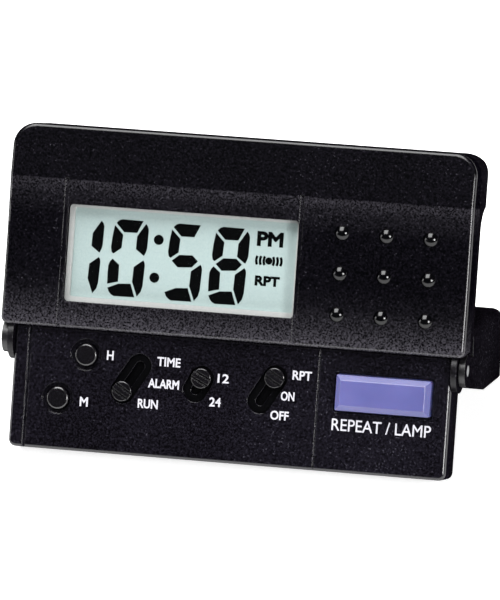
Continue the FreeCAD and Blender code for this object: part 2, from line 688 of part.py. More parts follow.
def wiper(near, far):
    """Bronze clip pressed on the stem, with two sprung fingers that brush the board."""
    x, z = near
    turn = math.degrees(math.atan2(far[1] - z, far[0] - x))
    long, wide = WIPER_SIZE
    front = KEY_INNER + 0.2
    back = front + WIPER_THICKNESS
    tip = BOARD_FRONT - FIT_GAP
    shape = box(-long / 2, long / 2, front, back, -wide / 2, wide / 2)
    inner_tip = tip - WIPER_THICKNESS
    outline = [
        (-long / 2, back - 0.05), (long / 2 - 0.5, inner_tip), (long / 2, inner_tip),
        (long / 2, tip), (long / 2 - 0.6, tip), (-long / 2, back + WIPER_THICKNESS),
    ]
    fingers = [
        prism_z(outline, -wide / 2, -wide / 2 + WIPER_FINGER),
        prism_z(outline, wide / 2 - WIPER_FINGER, wide / 2),
    ]
    shape = joined(shape, *fingers)
    shape = shape.cut(rod_y(0, 0, KNOB_STEM_RADIUS, 0, BOARD_FRONT))
    shape.rotate(V(0, 0, 0), V(0, 1, 0), -turn)
    shape.translate(V(x, 0, z))
    return shape


def key_pad():
    """Silicone sheet on the board with a low dome under each push button."""
    back = BOARD_FRONT - FIT_GAP / 2
    front = back - PAD_THICKNESS
    dome_front = KEY_INNER + FIT_GAP + FLANGE_THICKNESS + CAP_TRAVEL + 0.05
    left = slab(MINUTE_AT[0] - 4, HOUR_AT[0] + 4, MINUTE_AT[1] - 3.5, HOUR_AT[1] + 3.2, front, back, 1, 1)
    right = slab(*grown(SNOOZE, -1.0), front, back, 1, 1)
    middle_x = (SNOOZE[0] + SNOOZE[1]) / 2
    middle_z = (SNOOZE[2] + SNOOZE[3]) / 2
    left = joined(
        left, *[rod_y(x, z, PAD_DOME_RADIUS, dome_front, back - 0.1) for x, z in (HOUR_AT, MINUTE_AT)]
    )
    right = joined(
        right, *[rod_y(middle_x + d, middle_z, PAD_DOME_RADIUS, dome_front, back - 0.1) for d in (-6, 6)]
    )
    return Part.makeCompound([left, right])


# ================================================================ board and its parts
def circuit_board():
    y0, y1 = BOARD_FRONT, BOARD_BACK
    shape = joined(
        box(-BOARD_WIDE, BOARD_WIDE, y0, y1, BOARD_SHOULDER, BOARD_TOP),
        box(-BOARD_NARROW, BOARD_NARROW, y0, y1, BOARD_FOOT, BOARD_SHOULDER),
    )
    for x, z in CASE_SCREWS:
        shape = shape.cut(rod_y(x, z, POST_RADIUS + 0.2, y0 - 1, y1 + 1))
    for x, z in BOARD_SCREWS:
        shape = shape.cut(rod_y(x, z, SCREW_RADIUS + 0.1, y0 - 1, y1 + 1))
    return shape


def clock_chip():
    ball = (CHIP_RADIUS ** 2 + CHIP_HEIGHT ** 2) / (2 * CHIP_HEIGHT)
    x, z = CHIP_AT
    seat = BOARD_BACK
    drop = Part.makeSphere(ball, V(x, seat + CHIP_HEIGHT - ball, z))
    return drop.common(rod_y(x, z, ball, seat, seat + CHIP_HEIGHT + 1))


def quartz_crystal():
    x, z = CRYSTAL_AT
    can = rod_x(BOARD_BACK + CRYSTAL_RADIUS + 0.02, z, CRYSTAL_RADIUS, x, x + CRYSTAL_LENGTH)
    can = rounded(can, 0.25, lambda e: True)
    axis, end = BOARD_BACK + CRYSTAL_RADIUS, x + CRYSTAL_LENGTH
    leads, feet = [], []
    for lead_z in (z - CRYSTAL_LEAD_SPREAD, z + CRYSTAL_LEAD_SPREAD):
        leads.append(rod_x(axis, lead_z, CRYSTAL_LEAD_RADIUS, end - 0.1, end + 1.6))
        feet.append(rod_y(end + 1.5, lead_z, CRYSTAL_LEAD_RADIUS, BOARD_BACK, axis))
    return joined(can, *leads, *feet)


def buzzer_disc():
    x, z = BUZZER_AT
    front = KEY_BACK - WALL - BUZZER_RING_HEIGHT
    brass = rod_y(x, z, BUZZER_RADIUS, front, front + BUZZER_THICKNESS / 2)
    ceramic = rod_y(x, z, BUZZER_RADIUS * 0.7, front - 0.2, front)
    return joined(brass, ceramic)


def buzzer_contacts():
    """Two bent strips from the board to the disc: one on the ceramic, one on the brass rim."""
    x, z = BUZZER_AT
    disc = KEY_BACK - WALL - BUZZER_RING_HEIGHT
    strips = []
    for centre, back in ((x - 3.0, disc - 0.2), (x - BUZZER_RADIUS * 0.85, disc)):
        outline = [
            (centre - 0.8, BOARD_BACK), (centre + 0.8, BOARD_BACK), (centre + 0.8, BOARD_BACK + 0.25),
            (centre - 0.1, BOARD_BACK + 0.25), (centre + 0.5, back - 0.25), (centre + 0.9, back - 0.25),
            (centre + 0.9, back), (centre + 0.2, back), (centre - 0.5, BOARD_BACK + 0.25),
            (centre - 0.8, BOARD_BACK + 0.25),
        ]
        strips.append(prism_z(outline, z - 0.7, z + 0.7))
    return Part.makeCompound(strips)


# ================================================================ battery
def battery_cell():
    y, z = CELL_AT
    can = rod_x(y, z, CELL_RADIUS, CELL_LEFT, CELL_RIGHT - CELL_NUB_LENGTH)
    can = rounded(can, CELL_ROUND, lambda e: True)
    nub = rod_x(y, z, CELL_NUB_RADIUS, CELL_RIGHT - CELL_NUB_LENGTH - 0.5, CELL_RIGHT)
    return joined(can, nub)


def battery_spring():
    """Coil spring at the flat end, on a small plate against the bay's end."""
    y, z = CELL_AT
    plate_right = BAY[0] + 0.05 + CONTACT_THICKNESS
    base = box(plate_right - CONTACT_THICKNESS, plate_right, y - 3.4, y + 3.4, z - 3.6, z + 3.6)
    length = CELL_LEFT - plate_right - SPRING_WIRE * 2 - 0.02
    coil = Part.makeHelix(length / SPRING_COILS, length, SPRING_RADIUS)
    section = Part.Wire(Part.makeCircle(SPRING_WIRE, V(SPRING_RADIUS, 0, 0), V(0, 1, 0)))
    spring = Part.Wire(coil).makePipeShell([section], True, True)
    spring.rotate(V(0, 0, 0), V(0, 1, 0), 90)
    spring.translate(V(plate_right + SPRING_WIRE - 0.05, y, z))
    tab = box(plate_right - CONTACT_THICKNESS, plate_right, y - 0.8, y + 0.8, BOARD_TOP + 0.1, z - 3)
    return joined(base, tab, spring)


def battery_plus_contact():
    """Sprung plate at the nub end, its tab reaching down to the board."""
    y, z = CELL_AT
    left = CELL_RIGHT + 0.05
    right = BAY[1] - 0.05
    base = box(right - CONTACT_THICKNESS, right, y - 3.4, y + 3.4, z - 3.6, z + 3.6)
    pad = rod_x(y, z, 1.6, left, right - 0.1)
    tab = box(right - CONTACT_THICKNESS, right, y - 0.8, y + 0.8, BOARD_TOP + 0.1, z - 3)
    return joined(base, pad, tab)


def battery_door():
    """Sliding cover that follows the bulge, ribbed for the thumb, with a rail inside."""
    shape = door_skin(0)
    outline = slab(
        -HALF, HALF, SPLIT_HEIGHT, FACE_TOP, 0, BULGE_BACK + 1, LOWER_CORNER, FACE_CORNER
    )
    shape = shape.common(outline).common(plan(HALF, 0))
    mid = (BAY_DOOR[1] + COVE_FOOT + COVE_RADIUS) / 2 + 1
    for i in range(DOOR_RIBS):
        x = -HALF + DOOR_RIB_START + i * DOOR_RIB_PITCH
        rib_floor = BULGE_BACK - DOOR_RIB_DEPTH
        shape = shape.cut(
            box(x, x + DOOR_RIB_WIDTH, rib_floor, BULGE_BACK + 1, mid - DOOR_RIB_HALF, mid + DOOR_RIB_HALF)
        )
    return shape


# ================================================================ screws and pins
def screw(x, z, head_back, length, head_radius=SCREW_HEAD_RADIUS):
    """Pan head with a cross recess; the shank runs forward from the head."""
    head_front = head_back - SCREW_HEAD_HEIGHT
    head = rod_y(x, z, head_radius, head_front, head_back)
    head = rounded(head, 0.3, lambda e: abs(middle(e).y - head_back) < 1e-6)
    shank = rod_y(x, z, SCREW_RADIUS - 0.02, head_front - length, head_front + 0.05)
    shape = joined(head, shank)
    half = SCREW_RADIUS * 0.22
    arm = head_radius * 0.6
    depth = SCREW_HEAD_HEIGHT * 0.55
    shape = shape.cut(box(x - half, x + half, head_back - depth, head_back + 1, z - arm, z + arm))
    return shape.cut(box(x - arm, x + arm, head_back - depth, head_back + 1, z - half, z + half))


def case_screws():
    screws = []
    for x, z in CASE_SCREWS:
        head_back = case_back_at(z) - 0.1
        length = head_back - SCREW_HEAD_HEIGHT - (SEAM - SCREW_BITE) - 0.1
        screws.append(screw(x, z, head_back, length))
    return Part.makeCompound(screws)


def board_screws():
    """Three screws through the board into posts on the key section's front cover."""
    head_back = BOARD_BACK + FIT_GAP / 2 + BOARD_HEAD_HEIGHT
    screws = []
    for x, z in BOARD_SCREWS:
        head = rod_y(x, z, BOARD_HEAD_RADIUS, head_back - BOARD_HEAD_HEIGHT, head_back)
        shank = rod_y(x, z, SCREW_RADIUS - 0.02, SEAM - BOARD_SCREW_BITE + 0.05, head_back)
        slot = box(x - 0.15, x + 0.15, head_back - 0.2, head_back + 1, z - 1, z + 1)
        screws.append(joined(head, shank).cut(slot))
    return Part.makeCompound(screws)


def hinge_pins():
    y, z = PIVOT
    inner = KEY_HALF - WALL - 0.2
    pins = []
    for side in (-1, 1):
        x0, x1 = sorted((side * inner, side * (HALF - 0.05)))
        pin = rod_x(y, z, PIN_RADIUS, x0, x1)
        pins.append(rounded(pin, 0.25, lambda e: abs(abs(middle(e).x) - (HALF - 0.05)) < 1e-6))
    return Part.makeCompound(pins)


# ================================================================ stand
def stand():
    """Drawn with its length along Y and its plate uppermost, then opened to its stop."""
    shoulder, corner = STAND_SHOULDER, STAND_END_ROUND
    length, back, drop = STAND_LENGTH, STAND_BACK, STAND_ARM_DROP
    knee = (STAND_ARM_KNEE, -drop)
    reach = math.hypot(*knee)
    tangent = math.atan2(knee[1], knee[0]) - math.acos(LUG_RADIUS / reach)
    touch = (LUG_RADIUS * math.cos(tangent), LUG_RADIUS * math.sin(tangent))
    side = profile_x(
        polygon([
            (0, 0), touch, knee, (length, -drop), (length, back), (STAND_START, back),
            (STAND_START, STAND_NECK), (0, STAND_NECK),
        ]),
        -HALF, HALF,
    )
    side = rounded(side, corner, lambda e: along(e, 0) and near_point(e, length, back))
    side = rounded(side, 0.8, lambda e: along(e, 0) and near_point(e, STAND_START, back))
    side = joined(side, rod_x(0, 0, LUG_RADIUS, -HALF, HALF))
    section = box(-HALF, HALF, -LUG_RADIUS - 1, length + 1, -drop, back)
    section = rounded(section, shoulder, lambda e: along(e, 1) and middle(e).z > 0)
    section = rounded(section, 0.6, lambda e: along(e, 1) and middle(e).z < 0)
    shape = side.common(section)
    shape = shape.cut(
        box(-ARM_INNER, ARM_INNER, -LUG_RADIUS - 1, length - STAND_END, -drop - 1, back - STAND_SKIN)
    )
    clear = EAR_RADIUS + STAND_CLEARANCE
    for sign in (-1, 1):
        x0, x1 = sorted((sign * (ARM_INNER - 1), sign * LUG_INNER))
        shape = shape.cut(rod_x(0, 0, clear, x0, x1))
        x0, x1 = sorted((sign * (LUG_INNER - 1), sign * (HALF + 1)))
        shape = shape.cut(rod_x(0, 0, PIN_RADIUS + PIN_RUNNING_GAP, x0, x1))
    shape.rotate(V(0, 0, 0), V(1, 0, 0), STAND_OPEN_ANGLE)
    shape.translate(V(0, *PIVOT))
    return shape


def near_point(edge, y, z):
    point = middle(edge)
    return math.hypot(point.y - y, point.z - z) < 1e-6


# ================================================================ placing
def stand_point(along_length, across):
    """A point of the open stand's side view, in the case's own Y and Z."""
    turn = math.radians(STAND_OPEN_ANGLE)
    return (
        PIVOT[0] + along_length * math.cos(turn) - across * math.sin(turn),
        PIVOT[1] + along_length * math.sin(turn) + across * math.cos(turn),
    )


def lean_angle():
    """How far the face leans back when the case's foot and the stand's far edge touch the table."""
    far = stand_point(STAND_LENGTH, -STAND_ARM_DROP)
    return math.atan2(far[1], far[0] - KEY_BACK)


def leaned(shape):
    shape = shape.copy()
    shape.translate(V(0, -KEY_BACK, 0))
    shape.rotate(V(0, 0, 0), V(1, 0, 0), -math.degrees(lean_angle()))
    shape.translate(V(0, 0, -LAND_CUT))
    return shape


def leaned_point(x, y, z):
    turn = lean_angle()
    y -= KEY_BACK
    return (x, y * math.cos(turn) + z * math.sin(turn), z * math.cos(turn) - y * math.sin(turn) - LAND_CUT)


PIECES = {
    "front_bezel": front_bezel,
    "display_window": display_window,
    "lcd_frame": lcd_frame,
    "lcd_glass": lcd_glass,
    "backlight_panel": backlight_panel,
    "backlight_led": backlight_led,
    "elastomer_strip": elastomer_strip,
    "sound_domes": sound_domes,
    "key_panel": key_panel,
    "rear_case": rear_case,
    "circuit_board": circuit_board,
    "clock_chip": clock_chip,
    "quartz_crystal": quartz_crystal,
    "key_pad": key_pad,
    "buzzer_disc": buzzer_disc,
    "buzzer_contacts": buzzer_contacts,
    "battery_cell": battery_cell,
    "battery_spring": battery_spring,
    "battery_plus_contact": battery_plus_contact,
    "battery_door": battery_door,
    "case_screws": case_screws,
    "board_screws": board_screws,
    "hinge_pins": hinge_pins,
    "stand": stand,
    "hour_button": lambda: round_button(HOUR_AT),
    "minute_button": lambda: round_button(MINUTE_AT),
    "snooze_bar": snooze_bar,
}
for name, (near, far) in SLIDES.items():
    PIECES[name + "_knob"] = lambda near=near, far=far: knob(near, far)
    PIECES[name + "_wiper"] = lambda near=near, far=far: wiper(near, far)


def main():
    os.makedirs("parts", exist_ok=True)
    shapes = {name: leaned(make()) for name, make in PIECES.items()}
    table = Part.makeBox(400, 400, 50, V(-200, -200, -50))
    for name in ("rear_case", "key_panel", "stand"):
        shapes[name] = shapes[name].cut(table)
    whole = FreeCAD.BoundBox()
    for shape in shapes.values():
        whole.add(shape.optimalBoundingBox(False))
    middle_x, middle_y = whole.Center.x, whole.Center.y
    for name, shape in shapes.items():
        shape.translate(V(-middle_x, -middle_y, 0))
        if not shape.isValid():
            print("not valid:", name)
        shape.exportStep("parts/" + name + ".step")
        print(f"{name}: {len(shape.Solids)} solid(s), {shape.Volume:.1f} mm3")
    print("size", round(whole.XLength, 3), round(whole.YLength, 3), round(whole.ZLength, 3))
    print("lean", round(math.degrees(lean_angle()), 3), "shift", round(middle_x, 4), round(middle_y, 4))
    pivot = leaned_point(0, *PIVOT)
    print("pivot", [0, round(pivot[1] - middle_y, 4), round(pivot[2], 4)])


main()
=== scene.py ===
# %% [markdown]
# # A folding travel alarm clock
#
# The clock is a thin black plastic slab in two sections: the upper one carries the display and a grid of
# small domes, the lower one, set back a little, carries the keys.  A tray folds out behind to prop it up.
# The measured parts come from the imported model.  This script gives them their finishes, and adds what
# is printed or shown on them: the digits of the display, the small words, the light and the table.

# %% Load the measured parts
import json
import math

import bmesh
import bpy
from mathutils import Matrix, Vector


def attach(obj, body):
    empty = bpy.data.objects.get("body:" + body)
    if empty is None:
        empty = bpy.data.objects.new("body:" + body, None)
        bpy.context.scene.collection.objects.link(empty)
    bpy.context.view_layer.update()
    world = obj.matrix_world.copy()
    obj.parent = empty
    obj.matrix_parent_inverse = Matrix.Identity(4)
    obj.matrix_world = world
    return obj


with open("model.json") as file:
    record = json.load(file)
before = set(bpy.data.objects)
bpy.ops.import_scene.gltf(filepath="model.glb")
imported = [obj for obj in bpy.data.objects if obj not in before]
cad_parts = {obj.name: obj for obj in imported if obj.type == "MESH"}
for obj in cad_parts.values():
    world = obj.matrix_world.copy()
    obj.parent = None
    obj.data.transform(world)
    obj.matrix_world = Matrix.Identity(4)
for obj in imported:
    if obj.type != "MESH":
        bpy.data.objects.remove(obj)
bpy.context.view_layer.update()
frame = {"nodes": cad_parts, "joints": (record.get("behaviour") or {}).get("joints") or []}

# %% [markdown]
# The clock leans back on its stand, so its face is not square to the room.  Everything on the face is
# easier to place in the face's own directions: X to the right, "inward" into the case, and "up" along
# the face.  A push button travels straight into the case, so its joint already holds the inward one.

# %% Directions of the face
MM = 0.001
joints = {joint["name"]: joint for joint in frame["joints"]}
RIGHT = Vector((1.0, 0.0, 0.0))
INWARD = Vector(joints["hour_button_press"]["axis"]).normalized()
UP = RIGHT.cross(INWARD)
LEAN = Matrix((RIGHT, INWARD, UP)).transposed()


def face_range(node, origin=Vector((0.0, 0.0, 0.0))):
    """Lowest and highest corner of a part, in millimetres along the face's own directions."""
    points = [LEAN.transposed() @ v.co / MM for v in frame["nodes"][node].data.vertices]
    low = Vector([min(p[i] for p in points) for i in range(3)]) - origin
    high = Vector([max(p[i] for p in points) for i in range(3)]) - origin
    return low, high


bezel_low, bezel_high = face_range("front_bezel")
panel_low = face_range("key_panel")[0]
ORIGIN = Vector(((bezel_low.x + bezel_high.x) / 2, bezel_low.y, panel_low.z))


def on_face(x, inward, up):
    """A point of the room, in metres, from millimetres along the face."""
    return LEAN @ (ORIGIN + Vector((x, inward, up))) * MM


def place(obj, x, inward, up, turn=0.0):
    """Stands a piece drawn in X and Y up against the face, its Z pointing at the reader."""
    facing = Matrix((RIGHT, UP, -INWARD)).transposed().to_4x4()
    obj.matrix_world = Matrix.Translation(on_face(x, inward, up)) @ facing @ Matrix.Rotation(turn, 4, "Z")


def in_face(node):
    """The same two corners, counted from the foot of the key section in the middle of the face."""
    return face_range(node, ORIGIN)


print("face leans back", round(math.degrees(math.acos(UP.z)), 2), "degrees")
print("upper section", [round(v, 1) for v in bezel_high - bezel_low], "mm")

# %% [markdown]
# Colours are written as the hex values a designer would use.  Shaders work in linear light, so one
# function converts them.  Another adds a shader node with its settings and its links in one line.

# %% Colour and node helpers
def linear(hex_code):
    """An sRGB hex colour as linear red, green and blue, with full alpha."""
    channels = [int(hex_code[i:i + 2], 16) / 255 for i in (1, 3, 5)]
    return (*[c / 12.92 if c <= 0.04045 else ((c + 0.055) / 1.055) ** 2.4 for c in channels], 1.0)


def add(tree, kind, settings=None, **inputs):
    """Adds a node.  Settings are its own fields.  Inputs are its sockets, by name or as i and a number, and
    each is given a value or another node's output."""
    node = tree.nodes.new("ShaderNode" + kind)
    for field, value in (settings or {}).items():
        setattr(node, field, value)
    for name, value in inputs.items():
        numbered = name[0] == "i" and name[1:].isdigit()
        socket = node.inputs[int(name[1:]) if numbered else name.replace("_", " ")]
        if isinstance(value, bpy.types.NodeSocket):
            tree.links.new(value, socket)
        else:
            socket.default_value = value
    return node


def new_material(name, **principled):
    """A material, its node tree and its Principled shader, with the values that hold all over set on it."""
    material = bpy.data.materials.new(name)
    material.use_nodes = True
    shader = material.node_tree.nodes["Principled BSDF"]
    for socket, value in principled.items():
        shader.inputs[socket.replace("_", " ")].default_value = value
    return material, material.node_tree, shader


def surface_point(tree, size_mm):
    """Object coordinates, scaled so that one unit of the pattern is size_mm on the object."""
    here = add(tree, "TexCoord")
    return add(tree, "Mapping", Vector=here.outputs["Object"], Scale=(1 / (size_mm * MM),) * 3).outputs[0]


def noise(tree, size_mm, detail=2.0, roughness=0.5):
    """A cloudy 0 to 1 pattern whose lumps are about size_mm across."""
    point = surface_point(tree, size_mm)
    return add(tree, "TexNoise", Vector=point, Scale=1.0, Detail=detail, Roughness=roughness).outputs[0]


def tinted(tree, factor, dark, light, low=0.3, high=0.7, tip=None, tip_at=1.0):
    """A colour ramp between two hex colours, with a third at its top end if one is given."""
    ramp = add(tree, "ValToRGB", Fac=factor)
    stops = ramp.color_ramp.elements
    stops[0].position, stops[0].color = low, linear(dark)
    stops[1].position, stops[1].color = high, linear(light)
    if tip:
        stops.new(tip_at).color = linear(tip)
    return ramp.outputs["Color"]


def spread(tree, factor, low, high):
    """Turns a 0 to 1 pattern into a range of values."""
    return add(tree, "MapRange", Value=factor, To_Min=low, To_Max=high).outputs[0]


# %% [markdown]
# The case is ABS, injection moulded in a mould whose surface was spark eroded.  That leaves a fine,
# even grain of a few tenths of a millimetre: the tips of the grain catch light and its pits stay dark,
# and the black is not quite neutral, because a little violet shows in it.  Seen at a low angle the tips
# hide the pits and scatter the light, so such a surface loses its gloss there instead of mirroring,
# which is why the gloss falls off with the Layer Weight node.

# %% Black moulded ABS
# height on the face in millimetres, and how much painted sheen lightens the grain there
PAINTED_SHEEN = (
    (23.5, 0.9), (26.0, 0.45), (29.5, 0.18), (34.0, 0.03), (38.0, 0.0), (49.0, 0.0), (53.5, 0.08),
    (56.2, 0.2), (56.6, 0.0),
)
ABS_IOR = 1.53
# the levels of the grain's pattern at which its pits end, its tips start and the painted highlight on edges
# is palest
PITS, TIPS, EDGE_HIGHLIGHT_LEVEL = 0.4, 0.68, 0.95
# colour of the painted highlight on edges
EDGE_HIGHLIGHT_COLOUR = "#65646B"
# dark and pale colours of the painted sheen's grain, and the level of the grain where it turns pale
PAINTED_SHEEN_DARK, PAINTED_SHEEN_PALE, PAINTED_SHEEN_FROM = "#09080B", "#625F67", 0.36
GRAIN_DETAIL, GRAIN_ROUGHNESS, GRAIN_DEPTH = 2.0, 0.65, 0.03
CLOUD_SIZE, CLOUD_SHARE = 24.0, 0.2
# cosines of an edge's turn at which the painted edge highlight starts and is strongest, and how much it
# adds to the level
EDGE_FLAT, EDGE_TURNED, EDGE_HIGHLIGHT_ADDS, EDGE_SAMPLES = 0.97, 0.8, 0.12, 4
# how far the roughness goes to each side of its mean with the grain
SMOOTHER, ROUGHER = 0.05, 0.07


def painted_sheen_share(tree):
    """How much a painted sheen lightens the grain at each height of the upper section: most at its foot,
    and a little just under its crease.
    """
    here = add(tree, "TexCoord")
    height = add(tree, "VectorMath", {"operation": "DOT_PRODUCT"}, i0=here.outputs["Object"], i1=UP)
    first, last = PAINTED_SHEEN[0][0], PAINTED_SHEEN[-1][0]
    share = add(
        tree, "MapRange", Value=height.outputs["Value"], From_Min=(ORIGIN.z + first) * MM,
        From_Max=(ORIGIN.z + last) * MM,
    )
    ramp = add(tree, "ValToRGB", Fac=share.outputs[0])
    stops = ramp.color_ramp.elements
    stops.remove(stops[1])
    for step, (at, value) in enumerate(PAINTED_SHEEN):
        stop = stops[0] if step == 0 else stops.new((at - first) / (last - first))
        stop.position, stop.color = (at - first) / (last - first), (value, value, value, 1.0)
    return ramp.outputs["Color"]


def moulded_abs(
    name, dark, light, roughness, grain_mm=0.42, bump=0.2, specular=0.5, matt_from=0.3, matt_at=0.72,
    edge_mm=0.16, painted_sheen=False,
):
    """Black ABS with a moulded grain.  Its gloss falls from specular to none as the angle of view goes
    from matt_from to matt_at; its edges are rounded by edge_mm and painted paler, a painted highlight."""
    material, tree, shader = new_material(name, IOR=ABS_IOR)
    grain = noise(tree, grain_mm, GRAIN_DETAIL, GRAIN_ROUGHNESS)
    cloud = noise(tree, CLOUD_SIZE)
    uneven = add(
        tree, "Math", {"operation": "MULTIPLY_ADD"}, i0=cloud, i1=CLOUD_SHARE, i2=-CLOUD_SHARE / 2
    )
    speck = add(tree, "Math", {"operation": "ADD"}, i0=grain, i1=uneven.outputs[0])
    # edges are slightly rounded, and painted paler along them as a painted highlight
    edge = add(tree, "Bevel", {"samples": EDGE_SAMPLES}, Radius=edge_mm * MM)
    true_side = add(tree, "NewGeometry").outputs["True Normal"]
    same = add(tree, "VectorMath", {"operation": "DOT_PRODUCT"}, i0=edge.outputs[0], i1=true_side)
    painted_edge_highlight = add(
        tree, "MapRange", Value=same.outputs["Value"], From_Min=EDGE_FLAT, From_Max=EDGE_TURNED,
        To_Min=0.0, To_Max=EDGE_HIGHLIGHT_ADDS,
    )
    speck = add(tree, "Math", {"operation": "ADD"}, i0=speck.outputs[0], i1=painted_edge_highlight.outputs[0])
    colour = tinted(tree, speck.outputs[0], dark, light, PITS, TIPS, EDGE_HIGHLIGHT_COLOUR, EDGE_HIGHLIGHT_LEVEL)
    # painted sheen: a paler grain mixed in by height, standing in for light caught at the foot and just
    # under the crease
    if painted_sheen:
        tips = tinted(tree, grain, PAINTED_SHEEN_DARK, PAINTED_SHEEN_PALE, PAINTED_SHEEN_FROM, TIPS)
        mixed = add(tree, "Mix", {"data_type": "RGBA"}, i0=painted_sheen_share(tree), i6=colour, i7=tips)
        colour = mixed.outputs[2]
    tree.links.new(colour, shader.inputs["Base Color"])
    smooth, rough = roughness - SMOOTHER, roughness + ROUGHER
    tree.links.new(spread(tree, grain, smooth, rough), shader.inputs["Roughness"])
    angle = add(tree, "LayerWeight", Blend=0.5)
    gloss = add(
        tree, "MapRange", Value=angle.outputs["Facing"], From_Min=matt_from, From_Max=matt_at,
        To_Min=specular, To_Max=0.0,
    )
    tree.links.new(gloss.outputs[0], shader.inputs["Specular IOR Level"])
    relief = add(
        tree, "Bump", Height=grain, Strength=bump, Distance=GRAIN_DEPTH * MM, Normal=edge.outputs[0]
    )
    tree.links.new(relief.outputs[0], shader.inputs["Normal"])
    return material


ABS_UPPER = moulded_abs(
    "abs_spark_eroded_upper", "#000001", "#0D0B11", 0.18, specular=0.34, painted_sheen=True
)
ABS_LOWER = moulded_abs("abs_spark_eroded_lower", "#010002", "#17151D", 0.19)
ABS_REAR = moulded_abs("abs_spark_eroded_rear", "#040305", "#141217", 0.34, specular=0.22)
ABS_STAND = moulded_abs("abs_spark_eroded_stand", "#040305", "#141217", 0.38)
ABS_KNOB = moulded_abs(
    "abs_satin_knobs", "#020103", "#0A080E", 0.22, grain_mm=0.3, bump=0.1, specular=0.7, matt_from=0.6,
    matt_at=0.95,
)
ABS_GLOSS = moulded_abs(
    "abs_polished_domes", "#010102", "#040405", 0.12, grain_mm=0.9, bump=0.03, specular=0.35,
    matt_from=0.2, matt_at=0.4,
)
print("black ABS finishes: upper, lower, rear, stand, knobs, domes")

# %% [markdown]
# The window is clear cast acrylic: almost nothing of itself shows except a faint gloss.  Behind it sits
# a white styrene frame, and then the liquid crystal cell, grey-green because of the reflector glued to
# its back.

# %% Display materials
ACRYLIC_IOR, CRYSTAL_IOR = 1.49, 1.5
HAZE_SIZE, SPECK_DEPTH = 15.0, 0.02
SMOOTHEST, SPECK_VARIES = 0.02, 0.05


def clear_acrylic():
    """Alpha lets nearly everything through, so that only a faint gloss is left of the plate."""
    material, tree, shader = new_material(
        "acrylic_cast_clear", IOR=ACRYLIC_IOR, Alpha=0.05, Specular_IOR_Level=0.25
    )
    haze = noise(tree, HAZE_SIZE)
    tree.links.new(tinted(tree, haze, "#101413", "#161B19"), shader.inputs["Base Color"])
    tree.links.new(spread(tree, haze, 0.03, 0.08), shader.inputs["Roughness"])
    return material


def speckled(name, dark, light, roughness, grain_mm, bump=0.05, **more):
    """A plain moulded, printed or coated surface with a fine speckle at its real size."""
    material, tree, shader = new_material(name, **more)
    grain = noise(tree, grain_mm)
    smooth, rough = max(roughness - SPECK_VARIES, SMOOTHEST), roughness + SPECK_VARIES
    tree.links.new(tinted(tree, grain, dark, light), shader.inputs["Base Color"])
    tree.links.new(spread(tree, grain, smooth, rough), shader.inputs["Roughness"])
    relief = add(tree, "Bump", Height=grain, Strength=bump, Distance=SPECK_DEPTH * MM)
    tree.links.new(relief.outputs[0], shader.inputs["Normal"])
    return material


ACRYLIC = clear_acrylic()
WHITE_STYRENE = speckled("styrene_white", "#B4B6B5", "#BCBEBC", 0.5, 0.5)
LCD = speckled("liquid_crystal_reflector", "#9FB0AF", "#A7B8B6", 0.35, 0.35, 0.02, IOR=CRYSTAL_IOR)
LCD_INK = speckled("liquid_crystal_segment", "#010102", "#020203", 0.4, 0.6, 0.02, Specular_IOR_Level=0.05)
FILM = speckled("polyester_film_and_painted_shade_black", "#010102", "#020203", 0.35, 0.5, 0.02, Specular_IOR_Level=0.1)
PRINT = speckled("pad_print_pale_grey", "#B2B1B8", "#BDBCC2", 0.6, 0.12, 0.3)
print("display and print finishes: window, frame, crystal, segments, film, print")

# %% [markdown]
# The snooze bar is translucent lavender ABS, bright where light gets into it and darker on its bevels.
# Light scatters a little under the surface, so a small amount of subsurface is added.

# %% Lavender bar and the parts inside
LIGHT_SPREAD, DYE_CLOUD, FINE_GRAIN = 1.2, 7.0, 0.35
BRUSH_STRETCH, BRUSH_VARIES = 20, 0.15


def lavender_abs():
    material, tree, shader = new_material(
        "abs_translucent_lavender", IOR=ABS_IOR, Subsurface_Weight=0.25, Subsurface_Scale=LIGHT_SPREAD * MM
    )
    cloud, fine = noise(tree, DYE_CLOUD), noise(tree, FINE_GRAIN)
    tree.links.new(tinted(tree, cloud, "#4F5084", "#59598E"), shader.inputs["Base Color"])
    tree.links.new(spread(tree, fine, 0.26, 0.38), shader.inputs["Roughness"])
    relief = add(tree, "Bump", Height=fine, Strength=0.15, Distance=SPECK_DEPTH * MM)
    tree.links.new(relief.outputs[0], shader.inputs["Normal"])
    return material


def brushed_metal(name, dark, light, roughness, grain_mm=0.08):
    """Rolled or drawn metal: the grain is stretched along X, so highlights smear across it."""
    material, tree, shader = new_material(name, Metallic=1.0)
    here = add(tree, "TexCoord")
    fine = 1 / (grain_mm * MM)
    stretched = add(
        tree, "Mapping", Vector=here.outputs["Object"], Scale=(fine / BRUSH_STRETCH, fine, fine)
    )
    grain = add(tree, "TexNoise", Vector=stretched.outputs[0], Scale=1.0, Detail=2.0).outputs[0]
    tree.links.new(tinted(tree, grain, dark, light), shader.inputs["Base Color"])
    rough = spread(tree, grain, roughness, roughness + BRUSH_VARIES)
    tree.links.new(rough, shader.inputs["Roughness"])
    return material


